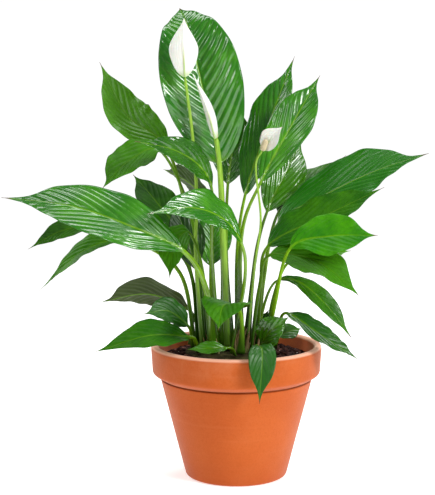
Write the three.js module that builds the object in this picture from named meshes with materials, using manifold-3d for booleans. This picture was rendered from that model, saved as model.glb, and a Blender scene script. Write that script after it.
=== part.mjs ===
// A peace lily in a plain terracotta pot.
// Millimetres. The origin is the centre of the pot's underside, +Z is up and +Y is the back.
import * as THREE from 'three';
import { mergeVertices } from 'three/addons/utils/BufferGeometryUtils.js';
import Module from 'manifold-3d';

// The pot
const potHeight = 132;
const rimRadius = 85;
const rimBandHeight = 28;
const rimBandTaper = 1.5; // the band is this much narrower at its foot
const rimStep = 8; // the band stands out from the body by this much
const rimStepDrop = 5; // height of the sloping underside of the band
const rimWall = 7; // wall thickness at the lip
const lipRound = 3;
const baseRadius = 50.5;
const footRound = 2.5;
const bodyWall = 6.5;
const floorThickness = 9;
const drainHoleRadius = 5;
const drainHoleCircle = 26; // the holes' centres lie on a circle of this radius
const drainHoleCount = 3;

// The soil and the crown of the plant
const headspace = 13; // from the lip down to the edge of the soil
const soilMound = 4; // the soil rises by this much to its flat middle
const crownRadius = 47;
const crownHeight = 4;
const crownCentre = [-5, 2];

// The plant. The leaf list below is drawn for a plant whose highest leaf is drawnHeight above its crown.
const drawnHeight = 340;
const plantHeight = 340;
const bladeThickness = 1.2;
const stalkFootRadius = 3.2; // a leaf stalk where it leaves the crown
const stalkNeckRadius = 1.7; // the same stalk where its blade begins
const bladeFold = 0.22; // how far a blade's edges rise, as a share of its half width
const flowerStalkRadius = 2.2;
const spatheCup = 0.45;
const spatheBelly = 0.45; // share of a hood's length where it is widest
const spatheThickness = 1.4;
const spadixRadius = 3.6;

// Clearances
const gap = 0.3; // between pieces that touch
const rimClearance = 7; // from the lip up to the underside of a leaf that hangs over it

// Fineness of the skins
const potSegments = 48;
const crownSegments = 32;
const skinSides = 8;
const stalkRings = 5;
const bladeRings = 10;

const grow = plantHeight / drawnHeight;
const soilEdge = potHeight - headspace;
const soilTop = soilEdge + soilMound;
const crownTop = soilTop + gap + crownHeight;
const floorInnerRadius = baseRadius - bodyWall;
const lipInnerRadius = rimRadius - rimWall;

const terracotta = new THREE.MeshStandardMaterial({ color: 0xcf6f42, roughness: 0.85, metalness: 0 });
const pottingMix = new THREE.MeshStandardMaterial({ color: 0x2a2024, roughness: 1, metalness: 0 });
const crownGreen = new THREE.MeshStandardMaterial({ color: 0x6f7d2c, roughness: 0.8, metalness: 0 });
const leafGreens = {
  fresh: new THREE.MeshStandardMaterial({ color: 0x4f9a2e, roughness: 0.35, metalness: 0 }),
  mid: new THREE.MeshStandardMaterial({ color: 0x357c1f, roughness: 0.35, metalness: 0 }),
  deep: new THREE.MeshStandardMaterial({ color: 0x1f5a12, roughness: 0.35, metalness: 0 }),
};
const stalkGreen = new THREE.MeshStandardMaterial({ color: 0x5fa524, roughness: 0.5, metalness: 0 });
const spatheWhite = new THREE.MeshStandardMaterial({ color: 0xf3f1e6, roughness: 0.6, metalness: 0 });
const spadixCream = new THREE.MeshStandardMaterial({ color: 0xd9c98c, roughness: 0.8, metalness: 0 });

const wasm = await Module();
wasm.setup();

const plant = new THREE.Group();

function addMesh(name, geometry, material) {
  const mesh = new THREE.Mesh(geometry, material);
  mesh.name = name;
  plant.add(mesh);
}

function toSolid(geometry) {
  const bare = geometry.clone();
  bare.deleteAttribute('normal');
  bare.deleteAttribute('uv');
  const merged = mergeVertices(bare, 1e-4);
  return new wasm.Manifold(new wasm.Mesh({
    numProp: 3,
    vertProperties: new Float32Array(merged.attributes.position.array),
    triVerts: new Uint32Array(merged.index.array),
  }));
}

function toGeometry(solid) {
  const mesh = solid.getMesh();
  const geometry = new THREE.BufferGeometry();
  geometry.setAttribute('position', new THREE.BufferAttribute(mesh.vertProperties, 3));
  geometry.setIndex(new THREE.BufferAttribute(mesh.triVerts, 1));
  return geometry;
}

// A body of revolution about +Z from [radius, height] pairs that run outwards along the
// underside, up the outside and back to the axis.
function turned(profile, segments) {
  const points = profile.map(([radius, height]) => new THREE.Vector2(radius, height));
  return new THREE.LatheGeometry(points, segments).rotateX(Math.PI / 2);
}

// The inside of the pot is one straight cone from its floor to its lip.
function innerRadius(height) {
  const share = (height - floorThickness) / (potHeight - floorThickness);
  return floorInnerRadius + share * (lipInnerRadius - floorInnerRadius);
}

function makePot() {
  const bandFoot = potHeight - rimBandHeight;
  const bandFootRadius = rimRadius - rimBandTaper;
  const bodyTopRadius = bandFootRadius - rimStep;
  const profile = [
    [0, 0],
    [baseRadius - footRound, 0],
    [baseRadius - 0.3 * footRound, 0.3 * footRound],
    [baseRadius, footRound],
    [bodyTopRadius, bandFoot - rimStepDrop],
    [bandFootRadius - 1, bandFoot - 1],
    [bandFootRadius, bandFoot + 1],
    [rimRadius, potHeight - lipRound],
    [rimRadius - 0.3 * lipRound, potHeight - 0.3 * lipRound],
    [rimRadius - lipRound, potHeight],
    [lipInnerRadius + 1, potHeight],
    [innerRadius(potHeight - 1), potHeight - 1],
    [floorInnerRadius, floorThickness],
    [0, floorThickness],
  ];
  let pot = toSolid(turned(profile, potSegments));
  for (let i = 0; i < drainHoleCount; i += 1) {
    const angle = (2 * Math.PI * i) / drainHoleCount + Math.PI / 2;
    const hole = new THREE.CylinderGeometry(drainHoleRadius, drainHoleRadius, 3 * floorThickness, 16)
      .rotateX(Math.PI / 2)
      .translate(drainHoleCircle * Math.cos(angle), drainHoleCircle * Math.sin(angle), floorThickness / 2);
    pot = pot.subtract(toSolid(hole));
  }
  addMesh('pot', toGeometry(pot), terracotta);
}

function makeSoil() {
  const foot = floorThickness + gap;
  const flat = Math.hypot(...crownCentre) + crownRadius + 2;
  const edge = innerRadius(soilEdge) - gap;
  addMesh('soil', turned([
    [0, foot],
    [innerRadius(foot) - gap, foot],
    [edge, soilEdge],
    [0.5 * (edge + flat), soilEdge + 0.6 * soilMound],
    [flat, soilTop],
    [0, soilTop],
  ], potSegments), pottingMix);
}

function makeCrown() {
  const foot = soilTop + gap;
  addMesh('crown', turned([
    [0, foot],
    [crownRadius - 1, foot],
    [crownRadius, foot + 0.4 * crownHeight],
    [crownRadius - 2, crownTop],
    [0, crownTop],
  ], crownSegments).translate(crownCentre[0], crownCentre[1], 0), crownGreen);
}

// A closed skin swept along a spine. Its rings are ellipses, halfWide across and halfThick through,
// and both edges rise by lift towards the face. It begins on a level foot and closes to a point.
function sweptSkin(spine, stations, face, section) {
  const last = stations.length - 1;
  const rings = stations.map((t) => ({
    ...section(t),
    centre: spine.getPoint(t),
    along: spine.getTangent(t),
  }));
  const middle = Math.round(0.7 * last);
  rings[middle].side = new THREE.Vector3().crossVectors(face, rings[middle].along).normalize();
  const carry = (from, to) => {
    const { along } = rings[to];
    const side = rings[from].side.clone();
    rings[to].side = side.addScaledVector(along, -side.dot(along)).normalize();
  };
  for (let i = middle + 1; i <= last; i += 1) carry(i - 1, i);
  for (let i = middle - 1; i >= 0; i -= 1) carry(i + 1, i);

  const skin = new THREE.SphereGeometry(1, skinSides, last + 1);
  const { position, uv } = skin.attributes;
  for (let i = 0; i < position.count; i += 1) {
    const row = Math.round((1 - uv.getY(i)) * (last + 1));
    const ring = rings[Math.max(row - 1, 0)];
    const isPole = row === 0 || row === last + 1;
    const across = isPole ? 0 : -Math.cos(2 * Math.PI * uv.getX(i));
    const through = isPole ? 0 : Math.sin(2 * Math.PI * uv.getX(i));
    const up = new THREE.Vector3().crossVectors(ring.along, ring.side);
    const point = ring.centre.clone()
      .addScaledVector(ring.side, ring.halfWide * across)
      .addScaledVector(up, ring.halfThick * through + ring.lift * Math.abs(across));
    if (row <= 1) point.z = spine.points[0].z;
    position.setXYZ(i, point.x, point.y, point.z);
  }
  return skin;
}

const smooth = (x) => THREE.MathUtils.smoothstep(x, 0, 1);

// Half width of a blade at share s of its length, as a share of its widest half width at the belly.
const bladeOutline = (s, belly) => {
  const stretched = s ** (Math.log(0.5) / Math.log(belly));
  return Math.sin(Math.PI * stretched) ** (0.8 + 0.6 * s);
};

// A leaf: a round stalk from the crown to the joint, and a pointed blade from the joint to the tip.
function makeLeaf(leaf) {
  const spine = new THREE.CatmullRomCurve3(leaf.points, false, 'catmullrom', 0.5);
  const joint = 2 / (leaf.points.length - 1);
  const stations = [];
  for (let i = 0; i < stalkRings; i += 1) stations.push((joint * i) / stalkRings);
  for (let i = 0; i < bladeRings; i += 1) stations.push(joint + ((1 - joint) * i) / bladeRings);
  stations.push(0.985);
  const halfWidth = 0.5 * leaf.width * grow;
  const section = (t) => {
    const s = Math.max((t - joint) / (1 - joint), 0);
    const down = Math.min(t / joint, 1);
    const round = THREE.MathUtils.lerp(stalkFootRadius, stalkNeckRadius, down ** 0.6) * leaf.stout * grow;
    const wide = halfWidth * bladeOutline(s, leaf.belly);
    const thin = Math.min(0.5 * bladeThickness, round);
    return {
      halfWide: s > 0 ? Math.max(wide, round * (1 - smooth(s / 0.9))) : round,
      halfThick: THREE.MathUtils.lerp(round, thin, smooth(s / 0.3)),
      lift: s > 0 ? bladeFold * wide : 0,
    };
  };
  addMesh(leaf.name, sweptSkin(spine, stations, leaf.face, section), leafGreens[leaf.green]);
}

// A flower: a stalk, a spike on top of it, and one hooded white blade behind the spike.
function makeFlower(flower) {
  const spine = new THREE.CatmullRomCurve3(flower.points, false, 'catmullrom', 0.5);
  const stations = [0, 0.12, 0.25, 0.38, 0.5, 0.62, 0.75, 0.88, 0.97];
  const round = flowerStalkRadius * grow;
  const stalk = sweptSkin(spine, stations, flower.face, (t) => ({
    halfWide: round * (1.2 - 0.4 * t),
    halfThick: round * (1.2 - 0.4 * t),
    lift: 0,
  }));
  addMesh(flower.name + '_stalk', stalk, stalkGreen);

  const top = flower.points[flower.points.length - 1];
  const along = spine.getTangent(1);
  const spikeRadius = spadixRadius * grow;
  const spikeLength = flower.spikeLength * grow;
  const spike = new THREE.CapsuleGeometry(spikeRadius, spikeLength - 2 * spikeRadius, 3, 8)
    .translate(0, 0.5 * spikeLength, 0)
    .applyQuaternion(new THREE.Quaternion().setFromUnitVectors(new THREE.Vector3(0, 1, 0), along));
  const spikeFoot = top.clone().addScaledVector(along, gap);
  addMesh(flower.name + '_spadix', spike.translate(...spikeFoot.toArray()), spadixCream);

  const back = flower.face.clone().addScaledVector(along, -flower.face.dot(along)).normalize();
  const hoodFoot = top.clone().addScaledVector(back, -(spikeRadius + 2.5));
  const hoodSpine = new THREE.CatmullRomCurve3([hoodFoot, ...flower.hood], false, 'catmullrom', 0.5);
  const hoodStations = [0, 0.1, 0.2, 0.3, 0.42, 0.54, 0.66, 0.78, 0.9, 0.985];
  const halfWidth = 0.5 * flower.width * grow;
  const hood = sweptSkin(hoodSpine, hoodStations, flower.face, (t) => ({
    halfWide: Math.max(halfWidth * bladeOutline(t, spatheBelly), t < spatheBelly ? 1.2 * grow : 0),
    halfThick: 0.5 * spatheThickness,
    lift: spatheCup * halfWidth * bladeOutline(t, spatheBelly),
  }));
  addMesh(flower.name + '_spathe', hood, spatheWhite);
}

// A place over the crown: x and y from the pot's axis, z above the crown.
function at(x, y, z) {
  return new THREE.Vector3(x * grow, y * grow, crownTop + gap + z * grow);
}

// A place over the front of the lip: out from the rim and up from the lip.
function overRim(x, out, up) {
  return new THREE.Vector3(x, -(rimRadius + out), potHeight + up);
}

const leaf = (name, green, width, belly, stout, face, ...points) => ({
  name, green, width, belly, stout, face: new THREE.Vector3(...face), points,
});

// Each leaf: name, green, blade width, where along the blade it is widest, stoutness of its stalk,
// the way its upper face looks, and its spine through root, knee, joint and blade to the tip.
const leaves = [
  leaf('leaf_tallest', 'fresh', 80, 0.37, 1.5, [0.1, -1, 0.1],
    at(-10, 8, 0), at(-13, 6, 100), at(-17, 4, 184), at(-33, -2, 256), at(-47, 12, 315), at(-57, 52, 338)),
  leaf('leaf_upper_left', 'mid', 46, 0.45, 0.9, [0.2, -0.8, 0.5],
    at(-29, 20, 0), at(-47, 34, 117), at(-70, 34, 198), at(-110, 42, 230), at(-139, 60, 284)),
  leaf('leaf_left_arch', 'mid', 33, 0.5, 0.9, [0, -0.8, 0.6],
    at(-17, -12, 0), at(-24, -18, 93), at(-24, -24, 158), at(-35, -34, 182), at(-60, -52, 199), at(-95, -78, 208)),
  leaf('leaf_left_droop', 'deep', 42, 0.45, 0.9, [-0.2, -0.7, 0.7],
    at(-31, 2, 0), at(-42, 0, 120), at(-72, -5, 194), at(-103, -24, 188), at(-128, -50, 162)),
  leaf('leaf_left_broad', 'fresh', 54, 0.5, 1.3, [0, -0.8, 0.6],
    at(-22, -29, 0), at(-30, -46, 67), at(-51, -58, 104), at(-95, -70, 127), at(-154, -66, 147), at(-223, -50, 154)),
  leaf('leaf_left_back_small', 'deep', 26, 0.45, 0.8, [0, -0.7, 0.7],
    at(-37, 27, 0), at(-52, 34, 84), at(-118, 42, 121), at(-175, 55, 113), at(-214, 50, 93)),
  leaf('leaf_left_low', 'mid', 36, 0.45, 0.9, [-0.1, -0.4, 0.9],
    at(-41, 8, 0), at(-56, 2, 75), at(-105, 0, 107), at(-151, 8, 97), at(-199, 20, 54)),
  leaf('leaf_left_hanging', 'deep', 36, 0.45, 0.8, [-0.6, -0.8, 0.1],
    at(-26, -20, 0), at(-33, -24, 80), at(-46, -26, 118), at(-60, -32, 106), at(-65, -38, 75)),
  leaf('leaf_left_backlit', 'deep', 36, 0.5, 0.9, [0.2, -1, 0.2],
    at(-21, 14, 0), at(-30, 16, 40), at(-40, 16, 77), at(-50, 22, 110), at(-64, 30, 146)),
  leaf('leaf_left_under', 'deep', 40, 0.45, 0.9, [0, 0.8, 0.6],
    at(-46, 17, 0), at(-44, 16, 20), at(-48, 16, 36), at(-90, 27, 50), at(-140, 50, 38)),
  leaf('leaf_left_folded', 'mid', 30, 0.45, 0.9, [-0.1, -0.8, 0.6],
    at(-43, -6, 0), at(-44, -10, 12), at(-48, -15, 25), at(-67, -24, 41), at(-90, -34, 40)),
  leaf('leaf_left_front_low', 'mid', 36, 0.45, 1, [-0.1, -0.6, 0.8],
    at(-38, -21, 0), at(-40, -28, 11), at(-46, -38, 18), at(-85, -54, 22), at(-136, -64, 8)),
  leaf('leaf_on_soil', 'deep', 18, 0.45, 0.7, [0, -0.5, 0.9],
    at(-2, -37, 0), at(-4, -44, 7), at(-10, -52, 10), at(-28, -60, 11), at(-48, -60, 10)),
  leaf('leaf_front', 'mid', 46, 0.4, 1, [0, -0.3, 1],
    at(4, -30, 0), at(5, -33, 28), at(1, -40, 47), at(-13, -72, 54), at(-18, -97, 35)),
  leaf('leaf_over_rim', 'mid', 26, 0.58, 0.8, [0, -1, 0.4],
    at(19, -29, 0), at(19, -38, 8), at(19, -52, 12), overRim(23, 0, rimClearance), overRim(20, 14, -38)),
  leaf('leaf_front_small', 'deep', 30, 0.45, 0.8, [0.1, -0.8, 0.6],
    at(24, -20, 0), at(25, -26, 5), at(24, -33, 10), at(33, -44, 25), at(50, -50, 40)),
  leaf('leaf_young', 'deep', 14, 0.45, 0.6, [-0.3, -1, 0.3],
    at(30, 8, 0), at(29, 9, 6), at(28, 11, 12), at(28, 14, 24), at(33, 20, 35)),
  leaf('leaf_right_front_low', 'mid', 28, 0.45, 0.9, [0.1, -0.4, 0.9],
    at(38, -5, 0), at(42, -12, 22), at(49, -24, 39), at(82, -42, 20), at(118, -50, -3)),
  leaf('leaf_right_pale_small', 'mid', 20, 0.45, 0.6, [0.3, -0.7, 0.7],
    at(38, 12, 0), at(40, 16, 6), at(43, 20, 8), at(54, 30, 11), at(68, 42, 12)),
  leaf('leaf_right_twisted', 'mid', 22, 0.6, 0.8, [0.2, -0.7, 0.7],
    at(22, 4, 0), at(25, 8, 30), at(38, 9, 64), at(62, 3, 66), at(90, -8, 43), at(113, -22, 13)),
  leaf('leaf_right_glossy', 'deep', 46, 0.45, 0.9, [0.1, -0.6, 0.8],
    at(14, -13, 0), at(22, -20, 63), at(32, -24, 96), at(78, -40, 91), at(117, -58, 60)),
  leaf('leaf_right_middle', 'fresh', 45, 0.5, 0.9, [0, -0.8, 0.6],
    at(30, -10, 0), at(37, -32, 50), at(50, -55, 106), at(87, -58, 118), at(132, -60, 119)),
  leaf('leaf_right_hidden', 'mid', 30, 0.45, 0.8, [0, -0.6, 0.8],
    at(31, 18, 0), at(38, 30, 45), at(54, 44, 80), at(88, 62, 86), at(122, 80, 88)),
  leaf('leaf_right_broad', 'fresh', 66, 0.45, 1, [0, -0.6, 0.8],
    at(22, 20, 0), at(28, 22, 67), at(42, 22, 122), at(92, 18, 153), at(140, 6, 177), at(187, -10, 194)),
  leaf('leaf_right_under', 'mid', 52, 0.45, 0.9, [0, -0.6, 0.8],
    at(20, -4, 0), at(24, -5, 60), at(31, -8, 103), at(83, -16, 132), at(142, -26, 162)),
  leaf('leaf_right_back', 'deep', 44, 0.45, 0.9, [0, -0.6, 0.8],
    at(20, 31, 0), at(30, 44, 75), at(44, 52, 131), at(74, 68, 153), at(117, 92, 188)),
  leaf('leaf_upper_right', 'fresh', 50, 0.48, 0.9, [-0.6, -0.8, 0.2],
    at(2, 19, 0), at(1, 24, 87), at(9, 28, 150), at(33, 36, 222), at(60, 60, 290)),
  leaf('leaf_upper_right_front', 'fresh', 46, 0.48, 0.9, [-0.4, -0.9, 0.3],
    at(5, 6, 0), at(5, 6, 110), at(24, 6, 165), at(55, 8, 222), at(83, 22, 270)),
  leaf('leaf_upper_right_back', 'deep', 44, 0.48, 0.9, [0.2, -0.8, 0.6],
    at(11, 29, 0), at(20, 40, 86), at(32, 48, 132), at(50, 60, 168), at(70, 84, 206)),
  leaf('leaf_top_back', 'mid', 46, 0.45, 0.9, [0, -1, 0.3],
    at(-5, 30, 0), at(-10, 44, 95), at(-8, 56, 160), at(-3, 64, 200), at(0, 72, 248)),
  leaf('leaf_centre', 'fresh', 46, 0.45, 0.9, [0, -0.7, 0.7],
    at(-5, -25, 0), at(8, -32, 74), at(4, -40, 110), at(-14, -50, 134), at(-44, -70, 146), at(-83, -90, 142)),
  leaf('leaf_back_left', 'deep', 42, 0.45, 0.8, [0.3, -0.9, 0.4],
    at(-30, 34, 0), at(-45, 60, 62), at(-58, 77, 106), at(-84, 96, 139), at(-110, 122, 166)),
  leaf('leaf_back_curled', 'mid', 46, 0.45, 0.8, [0, 0.7, 0.7],
    at(-18, 40, 0), at(-24, 70, 74), at(-27, 90, 132), at(-48, 110, 157), at(-78, 136, 171)),
  leaf('leaf_back_middle', 'fresh', 40, 0.45, 0.8, [0.1, -1, 0.3],
    at(-18, 29, 0), at(-25, 46, 43), at(-26, 52, 76), at(-24, 60, 108), at(-30, 72, 142)),
];

// Each flower: its stalk through four points, the way the hood opens, the hood's middle and tip.
const flowers = [
  {
    name: 'flower_tall', width: 28, spikeLength: 30, face: new THREE.Vector3(0, 1, 0.1),
    points: [at(-34, -12, 0), at(-40, -12, 93), at(-39, -10, 151), at(-43, -14, 212), at(-50, -22, 268)],
    hood: [at(-51, -32, 296), at(-51, -18, 323)],
  },
  {
    name: 'flower_closed', width: 11, spikeLength: 22, face: new THREE.Vector3(0.3, 1, 0),
    points: [at(-9, -11, 0), at(-12, -12, 91), at(-15, -14, 152), at(-17, -16, 185), at(-20, -18, 209)],
    hood: [at(-29, -26, 238), at(-42, -22, 270)],
  },
  {
    name: 'flower_small', width: 20, spikeLength: 12, face: new THREE.Vector3(-0.2, -1, 0.3),
    points: [at(10, -21, 0), at(17, -26, 83), at(23, -28, 130), at(18, -30, 181), at(24, -36, 198)],
    hood: [at(33, -38, 210), at(42, -44, 220)],
  },
];

makePot();
makeSoil();
makeCrown();
leaves.forEach(makeLeaf);
flowers.forEach(makeFlower);

export default plant;
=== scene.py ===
import math
import random

import bmesh
import bpy
from mathutils import Matrix, Vector, noise


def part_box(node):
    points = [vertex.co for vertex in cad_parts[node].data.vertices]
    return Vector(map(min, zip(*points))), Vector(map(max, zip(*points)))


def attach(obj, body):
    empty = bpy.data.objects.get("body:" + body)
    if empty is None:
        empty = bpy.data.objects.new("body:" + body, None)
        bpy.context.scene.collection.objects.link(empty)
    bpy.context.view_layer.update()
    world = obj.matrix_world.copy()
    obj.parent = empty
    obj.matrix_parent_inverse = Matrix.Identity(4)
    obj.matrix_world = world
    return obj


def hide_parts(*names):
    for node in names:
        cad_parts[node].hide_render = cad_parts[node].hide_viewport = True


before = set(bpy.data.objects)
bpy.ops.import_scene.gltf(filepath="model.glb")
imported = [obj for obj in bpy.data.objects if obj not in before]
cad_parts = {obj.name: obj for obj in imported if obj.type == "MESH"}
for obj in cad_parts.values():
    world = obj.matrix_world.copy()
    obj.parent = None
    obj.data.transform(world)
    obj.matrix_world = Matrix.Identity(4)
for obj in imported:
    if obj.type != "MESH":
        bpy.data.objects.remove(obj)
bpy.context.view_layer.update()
mm = 0.001
wholeTurn = 6.28  # radians, for a random turn or phase

print("camera")
cameraSettings = {
    "distance": 1.25, "height": 0.372, "aside": -0.0187,
    "tiltDown": 6.56,  # degrees
    "lens": 92.5, "sensor": 36, "farthest": 60,
}


def addCamera():
    view = cameraSettings
    data = bpy.data.cameras.new("camera")
    data.lens = view["lens"]
    data.sensor_width = view["sensor"]
    data.clip_end = view["farthest"]
    camera = bpy.data.objects.new("camera", data)
    camera.location = (view["aside"], -view["distance"], view["height"])
    camera.rotation_euler = (math.radians(90 - view["tiltDown"]), 0, 0)
    bpy.context.collection.objects.link(camera)
    bpy.context.scene.camera = camera


addCamera()


# A bench for wiring a material: each helper adds a node and returns the socket that leaves it.
class NodeBench:
    def __init__(self, name):
        self.material = bpy.data.materials.new(name)
        self.material.use_nodes = True
        self.nodes = self.material.node_tree.nodes
        self.links = self.material.node_tree.links
        self.shader = self.nodes["Principled BSDF"]

    def link(self, value, socket):
        if isinstance(value, bpy.types.NodeSocket):
            self.links.new(value, socket)
        elif isinstance(value, (tuple, list)) and len(value) == 3 and socket.type == "RGBA":
            socket.default_value = (*value, 1)
        else:
            socket.default_value = value

    def setShader(self, **values):  # by the names of its sockets, with _ for a space
        for name, value in values.items():
            self.link(value, self.shader.inputs[name.replace("_", " ")])
        return self.material

    def place(self, scale=(1, 1, 1)):  # object coordinates, in metres, stretched by scale
        coords = self.nodes.new("ShaderNodeTexCoord")
        mapping = self.nodes.new("ShaderNodeMapping")
        mapping.inputs["Scale"].default_value = scale
        self.links.new(coords.outputs["Object"], mapping.inputs["Vector"])
        return mapping.outputs["Vector"]

    def attribute(self, name):
        node = self.nodes.new("ShaderNodeAttribute")
        node.attribute_name = name
        return node.outputs["Fac"]

    def noise(self, vector, scale, detail, roughness=0.55):
        node = self.nodes.new("ShaderNodeTexNoise")
        node.inputs["Scale"].default_value = scale
        node.inputs["Detail"].default_value = detail
        node.inputs["Roughness"].default_value = roughness
        self.links.new(vector, node.inputs["Vector"])
        return node.outputs["Fac"]

    def cells(self, vector, scale):  # the distance to the nearest of scattered points
        node = self.nodes.new("ShaderNodeTexVoronoi")
        node.inputs["Scale"].default_value = scale
        self.links.new(vector, node.inputs["Vector"])
        return node.outputs["Distance"]

    # A smooth step: toLow where value is low, toHigh where it is high.
    def fade(self, value, low, high, toLow=0.0, toHigh=1.0):
        node = self.nodes.new("ShaderNodeMapRange")
        node.interpolation_type = "SMOOTHSTEP"
        self.link(value, node.inputs["Value"])
        self.link(low, node.inputs["From Min"])
        self.link(high, node.inputs["From Max"])
        self.link(toLow, node.inputs["To Min"])
        self.link(toHigh, node.inputs["To Max"])
        return node.outputs["Result"]

    def maths(self, operation, first, second=0.0):
        node = self.nodes.new("ShaderNodeMath")
        node.operation = operation
        self.link(first, node.inputs[0])
        self.link(second, node.inputs[1])
        return node.outputs[0]

    def blend(self, share, first, second):  # sockets 6 and 7 are the two colours, and 2 the blend
        node = self.nodes.new("ShaderNodeMix")
        node.data_type = "RGBA"
        self.link(share, node.inputs["Factor"])
        self.link(first, node.inputs[6])
        self.link(second, node.inputs[7])
        return node.outputs[2]

    def axis(self, vector, name):
        node = self.nodes.new("ShaderNodeSeparateXYZ")
        self.links.new(vector, node.inputs[0])
        return node.outputs[name]

    def bump(self, height, distance, strength, under=None):  # laid over the bump `under`
        node = self.nodes.new("ShaderNodeBump")
        node.inputs["Strength"].default_value = strength
        node.inputs["Distance"].default_value = distance
        self.link(height, node.inputs["Height"])
        if under is not None:
            self.links.new(under, node.inputs["Normal"])
        return node.outputs["Normal"]


def scaled(colour, share):
    return tuple(share * c for c in colour)


def finishPiece(bm, name, materials, slot, *nodes):
    mesh = bpy.data.meshes.new(name)
    bm.to_mesh(mesh)
    bm.free()
    for material in materials:
        mesh.materials.append(material)
    mesh.shade_smooth()
    piece = bpy.data.objects.new(name, mesh)
    bpy.context.collection.objects.link(piece)
    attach(piece, "root")
    if nodes:
        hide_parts(*nodes)
    return piece


def checkFit(piece, node, slack=4 * mm):  # tells of a piece well out of its solid's box
    low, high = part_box(node)
    worst = 0
    for vertex in piece.data.vertices:
        for k in range(3):
            worst = max(worst, low[k] - vertex.co[k], vertex.co[k] - high[k])
    if worst > slack:
        print("  fit:", piece.name, "stands", round(worst / mm, 1), "mm out of its solid's box")


def finishSkin(bm, name, materials, slot):  # stands for the solid of that name
    checkFit(finishPiece(bm, name + "_skin", materials, slot, name), name)


def smoothStep(x):
    x = min(max(x, 0), 1)
    return x * x * (3 - 2 * x)


class Spine:  # a smooth curve through the points, at an even share of t from each to the next
    def __init__(self, points):
        self.points = [Vector(p) for p in points]

    def at(self, t):
        p = self.points
        last = len(p) - 1
        place = min(max(t, 0), 1) * last
        i = min(int(place), last - 1)
        w = place - i
        before = p[i - 1] if i > 0 else 2 * p[0] - p[1]
        after = p[i + 2] if i + 2 <= last else 2 * p[last] - p[last - 1]
        leave = 0.5 * (p[i + 1] - before)
        arrive = 0.5 * (after - p[i])
        square = -3 * p[i] + 3 * p[i + 1] - 2 * leave - arrive
        cube = 2 * p[i] - 2 * p[i + 1] + leave + arrive
        return p[i] + leave * w + square * w * w + cube * w ** 3

    def along(self, t):
        return (self.at(min(t + 0.001, 1)) - self.at(max(t - 0.001, 0))).normalized()

    # Frames at the stations: centre, side and up, with up nearest to face at the station middle.
    def frames(self, stations, face, middle):
        alongs = [self.along(t) for t in stations]
        sides = [None] * len(stations)
        sides[middle] = Vector(face).cross(alongs[middle]).normalized()
        onward = range(middle + 1, len(stations))
        backward = range(middle - 1, -1, -1)
        for order, step in ((onward, -1), (backward, 1)):
            for i in order:
                side = sides[i + step]
                sides[i] = (side - alongs[i] * side.dot(alongs[i])).normalized()
        return [(self.at(t), sides[i], alongs[i].cross(sides[i])) for i, t in enumerate(stations)]


# Width of a blade at s, as a share of its widest, at belly. A drip draws the end in to a tail.
def bladeOutline(s, belly, drip=0.0):
    stretched = min(max(s, 0), 1) ** (math.log(0.5) / math.log(belly))
    full = max(math.sin(math.pi * stretched), 0) ** (0.8 + 0.6 * s)
    return full * (1 - drip * smoothStep((s - 0.76) / 0.16))


# A closed skin round a spine. The grid's x goes round the section and its y goes along the spine.
# section(station, across, turn) gives the way to the side, the heights of the top and of the
# underside, and the marks. With twoSided the underside has the second material.
def wrapSkin(frames, around, section, markNames, flatFoot=True, twoSided=False):
    bm = bmesh.new()
    rows = len(frames) - 1
    bmesh.ops.create_grid(bm, x_segments=around, y_segments=rows, size=1)
    layers = [bm.verts.layers.float.new(name) for name in markNames]
    if twoSided:
        for face in bm.faces:
            face.material_index = 0 if face.calc_center_median().x < 0 else 1
    known = {}  # an edge of the section is met twice, from above and from below
    for vertex in bm.verts:
        step = round((vertex.co.x + 1) * 0.5 * around)
        station = round((vertex.co.y + 1) * 0.5 * rows)
        top = 2 * step <= around
        place = (station, step if top else around - step)
        if place not in known:
            turn = 2 * place[1] / around  # 0 at one edge and 1 at the other
            flat = 1 - 2 * turn
            known[place] = section(station, math.copysign(abs(flat) ** 1.25, flat), turn)
        aside, over, under, *marks = known[place]
        centre, side, up = frames[station]
        vertex.co = centre + side * aside + up * (over if top else under)
        if station == 0 and flatFoot:
            vertex.co.z = centre.z
        for layer, value in zip(layers, marks):
            vertex[layer] = value
    bmesh.ops.remove_doubles(bm, verts=bm.verts[:], dist=0.002 * mm)
    bmesh.ops.dissolve_degenerate(bm, edges=bm.edges[:], dist=0.001 * mm)
    bmesh.ops.holes_fill(bm, edges=[e for e in bm.edges if e.is_boundary], sides=0)
    bmesh.ops.recalc_face_normals(bm, faces=bm.faces[:])
    return bm


# A skin turned round the Z axis from points at y = 0. Edges longer than longest are cut up.
def turnSkin(points, turns, longest=None):
    bm = bmesh.new()
    chain = [bm.verts.new(point) for point in points]
    edges = [bm.edges.new(pair) for pair in zip(chain, chain[1:])]
    if longest:
        long = [edge for edge in edges if edge.calc_length() > longest]
        bmesh.ops.subdivide_edges(bm, edges=long, cuts=7)
    bmesh.ops.spin(bm, geom=bm.verts[:] + bm.edges[:], cent=(0, 0, 0), axis=(0, 0, 1),
                   angle=2 * math.pi, steps=turns, use_merge=True)
    bmesh.ops.remove_doubles(bm, verts=bm.verts[:], dist=0.01 * mm)
    bmesh.ops.recalc_face_normals(bm, faces=bm.faces[:])
    return bm


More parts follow.
